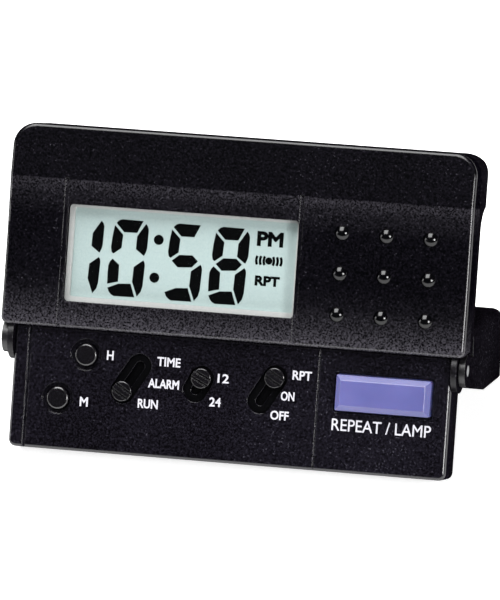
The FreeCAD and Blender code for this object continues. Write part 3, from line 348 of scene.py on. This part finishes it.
LAVENDER = lavender_abs()
STEEL = brushed_metal("steel_nickel_plated", "#A9A9AC", "#C9C9CC", 0.22)
PIN_STEEL = brushed_metal("steel_blued_pins", "#3A3A40", "#4C4C52", 0.3)
BRASS = brushed_metal("brass_rolled", "#A8873F", "#C9A75B", 0.25)
BRONZE = brushed_metal("phosphor_bronze_strip", "#9A6A3C", "#B98450", 0.28)
SILICONE = speckled("silicone_moulded_grey", "#47474B", "#55555A", 0.7, 0.3, 0.2)
BOARD = speckled("solder_mask_green", "#1F4A2A", "#2A5C36", 0.35, 0.6, 0.2)
EPOXY = speckled("epoxy_drop_black", "#0B0B0C", "#141415", 0.2, 1.5, 0.1)
LIGHT_GUIDE = speckled("acrylic_light_guide", "#D8DCD4", "#E6EAE2", 0.3, 0.4, 0.1)
SLEEVE = speckled("cell_shrink_sleeve", "#24384E", "#2E465E", 0.3, 2.0, 0.05)

FINISHES = {
    "front_bezel": ABS_UPPER, "key_panel": ABS_LOWER, "rear_case": ABS_REAR, "battery_door": ABS_REAR,
    "stand": ABS_STAND, "sound_domes": ABS_GLOSS, "hour_button": ABS_KNOB, "minute_button": ABS_KNOB,
    "mode_knob": ABS_KNOB, "hour_format_knob": ABS_KNOB, "alarm_knob": ABS_KNOB,
    "snooze_bar": LAVENDER, "display_window": ACRYLIC, "lcd_frame": WHITE_STYRENE, "lcd_glass": LCD,
    "backlight_panel": LIGHT_GUIDE, "backlight_led": LIGHT_GUIDE, "elastomer_strip": SILICONE,
    "key_pad": SILICONE, "circuit_board": BOARD, "clock_chip": EPOXY, "quartz_crystal": STEEL,
    "buzzer_disc": BRASS, "buzzer_contacts": BRONZE, "mode_wiper": BRONZE, "hour_format_wiper": BRONZE,
    "alarm_wiper": BRONZE, "battery_cell": SLEEVE, "battery_spring": STEEL,
    "battery_plus_contact": STEEL, "case_screws": STEEL, "board_screws": STEEL, "hinge_pins": PIN_STEEL,
}
for node, finish in FINISHES.items():
    mesh = frame["nodes"][node].data
    mesh.materials.clear()
    mesh.materials.append(finish)
print("parts left without a finish:", sorted(set(frame["nodes"]) - set(FINISHES)))

# %% [markdown]
# The camera is far away with a long lens, as for a catalogue, so the slab keeps almost parallel edges.
# It looks almost square at the leaning face, from a little to the right, and is rolled a few degrees.
# Its directions are therefore given along the face: right, inward, up.

# %% Camera
CAMERA_BACK = (0.2278, -0.9730, 0.0364)
CAMERA_UP = (-0.0752, 0.0197, 0.9970)
CAMERA_DISTANCE = 1.627
CLIP_NEAR, CLIP_FAR = 0.1, 20.0
AIM = on_face(2.53, 4.6, 34.1)
VIEW_WIDTH = 103.6 * MM
# the lens is set for the frame's long side, which is this many times its short one
LONG_TO_SHORT = 6 / 5

camera_data = bpy.data.cameras.new("camera")
camera = bpy.data.objects.new("camera", camera_data)
bpy.context.scene.collection.objects.link(camera)
bpy.context.scene.camera = camera
back = (LEAN @ Vector(CAMERA_BACK)).normalized()
across = (LEAN @ Vector(CAMERA_UP)).cross(back).normalized()
camera.matrix_world = Matrix.Translation(AIM + back * CAMERA_DISTANCE) @ Matrix(
    (across, back.cross(across), back)).transposed().to_4x4()
camera_data.lens = camera_data.sensor_width * CAMERA_DISTANCE / (VIEW_WIDTH * LONG_TO_SHORT)
camera_data.clip_start, camera_data.clip_end = CLIP_NEAR, CLIP_FAR
looking_down = math.degrees(math.asin(back.z))
print("lens", round(camera_data.lens), "mm, looking down", round(looking_down, 1), "degrees")

# %% [markdown]
# A digital clock draws each figure with seven bars.  On this display the bars are fat, with rounded
# outer corners, and only a thin gap divides them.  Each bar is an outline in millimetres on the glass,
# from the figure's lower left corner, and becomes a thin slab, as the crystal layer really is.

# %% Seven-segment digits
INK_THICKNESS = 0.03
BARS = {
    "a": [(1.1, 15.25), (1.6, 15.8), (2.3, 16.1), (6.85, 16.05), (5.65, 13.5), (2.85, 13.45)],
    "b": [(7.45, 15.5), (7.85, 15.0), (8.1, 14.3), (8.0, 10.35), (7.75, 9.5), (7.4, 8.8), (5.6, 10.1),
          (5.7, 12.8)],
    "c": [(7.35, 7.9), (7.65, 7.4), (7.75, 6.8), (7.55, 2.6), (7.25, 1.35), (6.45, 0.3), (5.25, 3.3),
          (5.4, 6.4)],
    "d": [(0.05, 1.7), (2.4, 2.7), (4.95, 2.85), (5.95, 0.1), (1.5, 0.05), (0.85, 0.4), (0.4, 0.9)],
    "e": [(0.75, 7.8), (2.25, 6.6), (2.25, 3.1), (-0.05, 2.5), (-0.1, 4.5), (-0.05, 6.4), (0.25, 7.2)],
    "f": [(0.8, 14.8), (2.7, 12.9), (2.5, 10.1), (0.85, 8.85), (0.45, 9.2), (0.25, 10.1), (0.45, 12.6)],
    "g": [(1.15, 8.3), (2.7, 9.6), (5.5, 9.7), (6.75, 8.55), (5.5, 7.2), (2.5, 7.0)],
}
FIGURES = {"0": "abcdef", "1": "bc", "5": "acdfg", "8": "abcdefg"}


def raise_faces(work, faces, thickness):
    """Closes flat faces into a slab of this thickness in millimetres."""
    raised = bmesh.ops.extrude_face_region(work, geom=faces)
    lifted = [v for v in raised["geom"] if isinstance(v, bmesh.types.BMVert)]
    bmesh.ops.translate(work, verts=lifted, vec=(0, 0, thickness * MM))


def finished(work, name):
    """Turns the sides outwards and hands the shape over as a mesh, in the same order on every run."""
    bmesh.ops.recalc_face_normals(work, faces=work.faces)
    corners = sorted(work.verts, key=lambda vertex: tuple(vertex.co))
    place_of = {vertex: at for at, vertex in enumerate(corners)}
    sides = sorted([place_of[vertex] for vertex in face.verts] for face in work.faces)
    mesh = bpy.data.meshes.new(name)
    mesh.from_pydata([tuple(vertex.co) for vertex in corners], [], sides)
    work.free()
    return mesh


def slab_mesh(name, outlines, thickness):
    """Flat outlines in millimetres, each filled and raised into a thin slab."""
    work = bmesh.new()
    for outline in outlines:
        face = work.faces.new([work.verts.new((x * MM, y * MM, 0.0)) for x, y in outline])
        raise_faces(work, [face], thickness)
    return finished(work, name)


def show(name, mesh, material, x, inward, up, body="case", turn=0.0):
    """Puts a piece on the face, in its material, riding on its body."""
    obj = bpy.data.objects.new(name, mesh)
    bpy.context.scene.collection.objects.link(obj)
    mesh.materials.append(material)
    place(obj, x, inward, up, turn)
    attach(obj, body)


def disc(radius, x=0.0, y=0.0, sides=40):
    """A round outline."""
    angles = [2 * math.pi * i / sides for i in range(sides)]
    return [(x + radius * math.cos(a), y + radius * math.sin(a)) for a in angles]


def wave(radius, half_angle, width, centre=0.0, steps=10):
    """A curved stroke, its ends square, bulging towards +X from the centre."""
    turns = [half_angle * (2 * i / steps - 1) for i in range(steps + 1)]
    ring = [(centre + radius * math.cos(a), radius * math.sin(a)) for a in turns]
    inner = radius - width
    return ring + [(centre + inner * math.cos(a), inner * math.sin(a)) for a in reversed(turns)]


DIGITS = (
    ("hour_tens", "1", -37.3), ("hour_units", "0", -27.75), ("minute_tens", "5", -15.5),
    ("minute_units", "8", -6.1),
)
DIGIT_FOOT = 32.75
COLON_DOT, COLON_STEP, COLON_X, COLON_UP = 1.05, (0.4, 7.9), -17.8, 37.25
BELL_DOT, BELL_X, BELL_UP = 0.75, 6.3, 42.5
WAVE_RADIUS, WAVE_HALF_ANGLE, WAVE_WIDTH, WAVE_CENTRES = 2.3, 0.46, 0.54, (-0.95, -0.15, 0.65)

glass_low, glass_high = in_face("lcd_glass")
INK_PLACE = glass_low.y
for name, figure, x in DIGITS:
    mesh = slab_mesh(name, [BARS[bar] for bar in FIGURES[figure]], INK_THICKNESS)
    show("digit_" + name, mesh, LCD_INK, x, INK_PLACE, DIGIT_FOOT)
colon = slab_mesh("colon", [disc(COLON_DOT), disc(COLON_DOT, *COLON_STEP)], INK_THICKNESS)
show("display_colon", colon, LCD_INK, COLON_X, INK_PLACE, COLON_UP)
waves = [wave(WAVE_RADIUS, WAVE_HALF_ANGLE, WAVE_WIDTH, centre) for centre in WAVE_CENTRES]
mirrored = [[(-x, y) for x, y in reversed(outline)] for outline in waves]
ringing = slab_mesh("ringing", [disc(BELL_DOT)] + waves + mirrored, INK_THICKNESS)
show("sign_ringing", ringing, LCD_INK, BELL_X, INK_PLACE, BELL_UP)
height = max(y for bar in BARS.values() for x, y in bar)
print("figures", height, "mm tall on a glass", [round(v, 1) for v in glass_high - glass_low])

# %% [markdown]
# Small words are text curves turned into meshes.  The printed ones are pad printed in pale grey ink and
# are plain words and numbers for what each key does; the ones on the display belong to its crystal.
# Ink spreads a little as it is laid down, so every outline moves outwards by that much, which makes the
# strokes bolder, and then the word is raised into a thin closed layer.

# %% Words and signs
CURVE_STEPS = 4
SAME_POINT = 1e-4
# one plus the cosine between the two sides at a corner is never taken as less than this
SHARPEST_CORNER = 0.35


def swell(work, reach):
    """Moves the outline of flat filled shapes outwards, corners staying sharp but not spiky."""
    moves = {}
    for vertex in work.verts:
        sides = []
        for edge in vertex.link_edges:
            if len(edge.link_faces) != 1:
                continue
            along = (edge.verts[1].co - edge.verts[0].co).normalized()
            outward = Vector((along.y, -along.x, 0.0))
            if outward.dot(edge.link_faces[0].calc_center_median() - edge.verts[0].co) > 0:
                outward.negate()
            sides.append(outward)
        if len(sides) == 2:
            turn = max(1 + sides[0].dot(sides[1]), SHARPEST_CORNER)
            moves[vertex] = (sides[0] + sides[1]) / turn * reach
    for vertex, move in moves.items():
        vertex.co += move


def word(name, text, cap, width, x, inward, up, material, spread_mm):
    """A word with capitals cap mm tall, width mm wide, centred on (x, up) of the face."""
    curve = bpy.data.curves.new(name, "FONT")
    curve.body = text
    curve.resolution_u = CURVE_STEPS
    curve_object = bpy.data.objects.new(name + "_curve", curve)
    flat = bpy.data.meshes.new_from_object(curve_object)
    bpy.data.objects.remove(curve_object)
    work = bmesh.new()
    work.from_mesh(flat)
    bmesh.ops.remove_doubles(work, verts=work.verts, dist=SAME_POINT)
    corners = [Vector([pick(v.co[i] for v in work.verts) for i in range(3)]) for pick in (min, max)]
    extent, middle = corners[1] - corners[0], (corners[0] + corners[1]) / 2
    bmesh.ops.translate(work, verts=work.verts, vec=-middle)
    scale = ((width - 2 * spread_mm) / extent.x * MM, (cap - 2 * spread_mm) / extent.y * MM, 1.0)
    bmesh.ops.scale(work, verts=work.verts, vec=scale)
    swell(work, spread_mm * MM)
    raise_faces(work, work.faces[:], INK_THICKNESS)
    show(name, finished(work, name), material, x, inward, up)


PANEL_FRONT = panel_low.y - ORIGIN.y
# name, text, height of its capitals, width, and its middle across and up the face, all in millimetres
LABELS = (
    ("word_hour", "H", 1.95, 1.45, -25.9, 20.45), ("word_minute", "M", 1.95, 1.75, -30.9, 10.4),
    ("word_set_time", "TIME", 1.9, 5.0, -13.3, 20.0), ("word_set_alarm", "ALARM", 1.9, 6.6, -14.1, 15.4),
    ("word_run", "RUN", 1.9, 4.3, -17.2, 11.0), ("word_twelve", "12", 1.9, 2.4, -1.5, 17.5),
    ("word_twenty_four", "24", 1.9, 2.5, -2.9, 12.5), ("word_repeat", "RPT", 1.9, 4.1, 15.2, 19.4),
    ("word_alarm_on", "ON", 1.9, 2.9, 12.4, 14.9), ("word_alarm_off", "OFF", 1.9, 3.9, 10.95, 10.8),
)
LABEL_SPREAD, BAR_WORD_SPREAD = 0.06, 0.02
for name, text, cap, width, x, up in LABELS:
    word(name, text, cap, width, x, PANEL_FRONT, up, PRINT, LABEL_SPREAD)
word(
    "word_bar", "REPEAT / LAMP", 2.5, 21.0, 32.6, PANEL_FRONT, 9.9, PRINT, BAR_WORD_SPREAD
)
word("sign_afternoon", "PM", 3.1, 5.6, 6.3, INK_PLACE, 47.0, LCD_INK, 0.2)
word("sign_repeat", "RPT", 2.1, 5.3, 6.25, INK_PLACE, 38.3, LCD_INK, 0.15)
print("words:", len(LABELS) + 1, "printed, 2 on the display")

# %% [markdown]
# Each slide knob runs in a shallow sunk track.  Its bed is covered with a thin black sheet with a slit for
# the stem, painted shade that makes the whole track look dark.  A second strip of black polyester film
# behind the panel travels with the knob.  It closes the slit to dust, so that no part of the board shows
# through, and laps over both of its ends.

# %% Black films of the slide switches, the one in each track painted shade
TRACK_DEPTH, TRACK_WIDTH, SLIT_WIDTH = 0.6, 5.2, 2.0
BED_GAP, BED_THICKNESS, BED_LIFT = 0.06, 0.04, 0.005
FILM_WIDTH, FILM_THICKNESS, FILM_LAP, FILM_OFF_WIPER = 2.6, 0.06, 1.3, 0.05


def stadium(length, radius, steps=16):
    """A round-ended outline along X, its end centres at 0 and length."""
    turns = [math.pi * i / steps for i in range(steps + 1)]
    far = [(length + radius * math.sin(a), -radius * math.cos(a)) for a in turns]
    return far + [(-radius * math.sin(a), radius * math.cos(a)) for a in turns]


def ring_mesh(name, outer, inner, thickness):
    """The band between two outlines with as many points each, raised into a thin slab."""
    work = bmesh.new()
    loops = [[work.verts.new((x * MM, y * MM, 0.0)) for x, y in outline] for outline in (outer, inner)]
    count = len(outer)
    quads = [
        work.faces.new([loops[0][i], loops[0][(i + 1) % count], loops[1][(i + 1) % count], loops[1][i]])
        for i in range(count)
    ]
    raise_faces(work, quads, thickness)
    return finished(work, name)


for switch in ("mode", "hour_format", "alarm"):
    slide = joints[switch + "_slide"]
    along = LEAN.transposed() @ Vector(slide["axis"])
    turn = math.atan2(along.z, along.x)
    travel = slide["range_m"][1] / MM
    low, high = in_face(switch + "_knob")
    x, up = (low.x + high.x) / 2, (low.z + high.z) / 2
    outer = stadium(travel, TRACK_WIDTH / 2 - BED_GAP)
    inner = stadium(travel, SLIT_WIDTH / 2 + BED_GAP)
    # the sheet on the track's bed is painted shade that makes the sunk track look dark
    bed = ring_mesh(switch + "_bed", outer, inner, BED_THICKNESS)
    bed_place = PANEL_FRONT + TRACK_DEPTH - BED_LIFT
    show(switch + "_track_shade_film", bed, FILM, x, bed_place, up, turn=turn)
    half, side = travel + FILM_LAP, FILM_WIDTH / 2
    strip = slab_mesh(
        switch + "_film", [[(-half, -side), (half, -side), (half, side), (-half, side)]], FILM_THICKNESS
    )
    film_place = in_face(switch + "_wiper")[0].y - FILM_OFF_WIPER
    show(switch + "_dust_film", strip, FILM, x, film_place, up, switch + "_slider", turn)
    print(switch, "track", round(travel + TRACK_WIDTH, 1), "mm long, dust film", round(2 * half, 1), "mm")

# %% [markdown]
# The table is a pale opal board lit from within, as small products are shown on, so shadows stay faint.
# One large panel hangs straight above.  It makes the board bright, while the face mirrors it away from
# the reader and so stays black.  A second, to the right, fills the recess of the window, and a small
# third one, low on the left, picks out the left edges.

# %% Table and light
BOARD_GRAIN, BOARD_GLOW, SKY_STRENGTH = 8.0, 0.65, 0.05
REACH = 4.0


def table_board():
    material, tree, shader = new_material(
        "acrylic_opal_matt_board", Roughness=0.9, Specular_IOR_Level=0.2,
        Emission_Color=linear("#FFFFFF"), Emission_Strength=BOARD_GLOW,
    )
    grain = noise(tree, BOARD_GRAIN)
    tree.links.new(tinted(tree, grain, "#F4F4F4", "#F8F8F8"), shader.inputs["Base Color"])
    return material


floor_mesh = bpy.data.meshes.new("table")
floor_mesh.from_pydata(
    [(-REACH, -REACH, 0), (REACH, -REACH, 0), (REACH, REACH, 0), (-REACH, REACH, 0)], [], [(0, 1, 2, 3)]
)
floor = bpy.data.objects.new("table", floor_mesh)
bpy.context.scene.collection.objects.link(floor)
floor.data.materials.append(table_board())


def soft_panel(name, where, aim, size, power):
    """A white rectangular light at one point, turned towards another; metres and watts."""
    light = bpy.data.lights.new(name, "AREA")
    light.shape = "RECTANGLE"
    light.size, light.size_y = size
    light.energy = power
    obj = bpy.data.objects.new(name, light)
    obj.location = where
    obj.rotation_mode = "QUATERNION"
    obj.rotation_quaternion = (Vector(aim) - Vector(where)).to_track_quat("-Z", "Y")
    bpy.context.scene.collection.objects.link(obj)
    print(name, power, "W")


FOOT, MIDDLE = (0.0, 0.0, 0.0), (0.0, 0.0, 0.03)
soft_panel("panel_above", (-0.2, 0.0, 1.1), FOOT, (1.0, 0.8), 25.0)
soft_panel("panel_left", (-0.9, -0.3, 0.25), MIDDLE, (0.2, 0.4), 1.7)
soft_panel("panel_right", (0.95, -0.75, 0.6), MIDDLE, (0.4, 0.4), 14.0)

world = bpy.data.worlds.new("studio")
bpy.context.scene.world = world
world.use_nodes = True
sky = world.node_tree.nodes["Background"]
sky.inputs["Color"].default_value = linear("#DADCE0")
sky.inputs["Strength"].default_value = SKY_STRENGTH
bpy.context.scene.view_settings.view_transform = "Standard"
